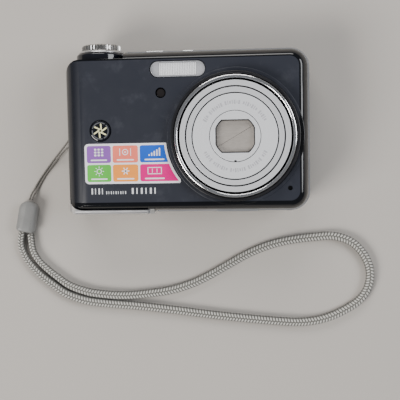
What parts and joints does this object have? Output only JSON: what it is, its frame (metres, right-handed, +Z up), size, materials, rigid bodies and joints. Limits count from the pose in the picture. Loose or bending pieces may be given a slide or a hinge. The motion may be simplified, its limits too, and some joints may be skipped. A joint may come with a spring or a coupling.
{
  "type": "compact digital camera",
  "caption": "Compact digital camera lying on its back, with telescoping zoom lens, lens barrier, mode dial, display, battery door and wrist strap.",
  "frame": {"origin": "middle of the camera's footprint, on the surface that its back lies on", "axes": "+X along the camera's long side, away from the battery door; +Y towards the top plate with the mode dial; +Z up, out of the lens"},
  "size_m": [0.1471, 0.1142, 0.027],
  "materials": {
    "navy_gloss": "gloss",
    "black_plastic": "satin",
    "silver_paint": "satin",
    "lens_aluminium": "satin",
    "chrome": "polished",
    "steel": "brushed",
    "clear_glass": "gloss",
    "dark_glass": "gloss",
    "mirror": "polished",
    "rubber": "matte",
    "circuit_board": "satin",
    "cell_jacket": "gloss",
    "printed_label": "satin",
    "strap_fabric": "woven",
    "ferrule_plastic": "satin"
  },
  "bodies": {
    "camera_body": {"front_cover": "navy_gloss", "centre_band": "silver_paint", "rear_cover": "black_plastic", "bottom_foot": "rubber", "case_screw": "steel", "flash_window": "clear_glass", "flash_reflector": "mirror", "flash_tube": "clear_glass", "flash_capacitor": "black_plastic", "af_lamp": "dark_glass", "microphone": "steel", "emblem": "chrome", "feature_label": "printed_label", "lens_base": "black_plastic", "lens_barrel": "black_plastic", "lens_collar": "black_plastic", "chrome_ring": "chrome", "image_sensor": "dark_glass", "ir_filter": "clear_glass", "battery_chamber": "black_plastic", "battery_1": "cell_jacket", "battery_2": "cell_jacket", "battery_spring": "steel", "memory_card": "black_plastic", "main_board": "circuit_board", "lcd_panel": "dark_glass", "lcd_window": "dark_glass", "speaker": "steel", "usb_socket": "steel", "tripod_bush": "steel", "dial_pod": "navy_gloss", "pod_cap": "silver_paint", "strap_post": "steel", "wrist_cord": "strap_fabric", "strap_braid": "strap_fabric", "strap_ferrule": "ferrule_plastic"},
    "outer_barrel": {"lens_stage_1": "lens_aluminium"},
    "middle_barrel": {"lens_stage_2": "lens_aluminium"},
    "inner_barrel": {"lens_stage_3": "black_plastic", "name_ring": "lens_aluminium", "barrier_plate": "lens_aluminium", "front_lens": "clear_glass"},
    "left_blade": {"barrier_blade_1": "steel"},
    "right_blade": {"barrier_blade_2": "steel"},
    "zoom_group": {"zoom_lens_group": "clear_glass"},
    "focus_group": {"focus_lens_group": "clear_glass"},
    "dial": {"mode_dial": "chrome"},
    "shutter": {"shutter_button": "chrome"},
    "power": {"power_button": "chrome"},
    "rocker": {"zoom_rocker": "silver_paint"},
    "menu": {"menu_button": "silver_paint"},
    "play": {"play_button": "silver_paint"},
    "gimbal": {"pad_gimbal": "rubber"},
    "pad": {"four_way_pad": "silver_paint"},
    "ok": {"ok_button": "chrome"},
    "door_slider": {"door_carriage": "steel"},
    "door": {"battery_door": "silver_paint", "door_contact": "steel"},
    "terminal_flap": {"terminal_cover": "silver_paint"}
  },
  "joints": [
    {"name": "lens_extend", "type": "slide", "parent": "camera_body", "child": "outer_barrel", "axis": [0, 0, 1], "range_m": [0, 0.008]},
    {"name": "middle_extend", "type": "slide", "parent": "outer_barrel", "child": "middle_barrel", "axis": [0, 0, 1], "range_m": [0, 0.006]},
    {"name": "inner_extend", "type": "slide", "parent": "middle_barrel", "child": "inner_barrel", "axis": [0, 0, 1], "range_m": [0, 0.005]},
    {"name": "left_blade_turn", "type": "hinge", "parent": "inner_barrel", "child": "left_blade", "pos_m": [0.0078, -0.0085, 0.0244], "axis": [0, 0, 1], "range_deg": [0, 29]},
    {"name": "right_blade_turn", "type": "hinge", "parent": "inner_barrel", "child": "right_blade", "pos_m": [0.0306, 0.0012, 0.0244], "axis": [0, 0, 1], "range_deg": [0, 29]},
    {"name": "zoom_travel", "type": "slide", "parent": "camera_body", "child": "zoom_group", "axis": [0, 0, 1], "range_m": [0, 0.006]},
    {"name": "focus_travel", "type": "slide", "parent": "camera_body", "child": "focus_group", "axis": [0, 0, 1], "range_m": [0, 0.0015]},
    {"name": "dial_turn", "type": "hinge", "parent": "camera_body", "child": "dial", "pos_m": [-0.0336, 0.031, 0.0115], "axis": [0, 1, 0], "continuous": true},
    {"name": "shutter_press", "type": "slide", "parent": "camera_body", "child": "shutter", "axis": [0, -1, 0], "range_m": [0, 0.00035], "stiffness_N_per_m": 400, "springref_m": -0.0002},
    {"name": "power_press", "type": "slide", "parent": "camera_body", "child": "power", "axis": [0, -1, 0], "range_m": [0, 0.00035], "stiffness_N_per_m": 400, "springref_m": -0.0002},
    {"name": "rocker_tilt", "type": "hinge", "parent": "camera_body", "child": "rocker", "pos_m": [-0.029, 0.0189, 0.0015], "axis": [0, 1, 0], "range_deg": [-4, 4], "stiffness_Nm_per_rad": 0.02},
    {"name": "menu_press", "type": "slide", "parent": "camera_body", "child": "menu", "axis": [0, 0, 1], "range_m": [0, 0.00035], "stiffness_N_per_m": 300, "springref_m": -0.0002},
    {"name": "play_press", "type": "slide", "parent": "camera_body", "child": "play", "axis": [0, 0, 1], "range_m": [0, 0.00035], "stiffness_N_per_m": 300, "springref_m": -0.0002},
    {"name": "pad_tilt_up_down", "type": "hinge", "parent": "camera_body", "child": "gimbal", "pos_m": [-0.029, -0.00635, 0.0022], "axis": [1, 0, 0], "range_deg": [-2.5, 2.5], "stiffness_Nm_per_rad": 0.02},
    {"name": "pad_tilt_side", "type": "hinge", "parent": "gimbal", "child": "pad", "pos_m": [-0.029, -0.00635, 0.0022], "axis": [0, 1, 0], "range_deg": [-2.5, 2.5], "stiffness_Nm_per_rad": 0.02},
    {"name": "ok_press", "type": "slide", "parent": "camera_body", "child": "ok", "axis": [0, 0, 1], "range_m": [0, 0.00035], "stiffness_N_per_m": 300, "springref_m": -0.0002},
    {"name": "door_slide", "type": "slide", "parent": "camera_body", "child": "door_slider", "axis": [-1, 0, 0], "range_m": [0, 0.0035]},
    {"name": "door_turn", "type": "hinge", "parent": "door_slider", "child": "door", "pos_m": [-0.0135, -0.0322, 0.0123], "axis": [0, 0, 1], "range_deg": [0, 90]},
    {"name": "terminal_cover_turn", "type": "hinge", "parent": "camera_body", "child": "terminal_flap", "pos_m": [0.0467, 0.0122, 0.0113], "axis": [0, 0, -1], "range_deg": [0, 95]}
  ],
  "couplings": [
    {"joint": "middle_extend", "follows": "lens_extend", "ratio": 0.75},
    {"joint": "inner_extend", "follows": "lens_extend", "ratio": 0.625},
    {"joint": "zoom_travel", "follows": "lens_extend", "ratio": 0.75},
    {"joint": "left_blade_turn", "follows": "lens_extend", "rad_per_m": 63.2},
    {"joint": "right_blade_turn", "follows": "lens_extend", "rad_per_m": 63.2}
  ]
}
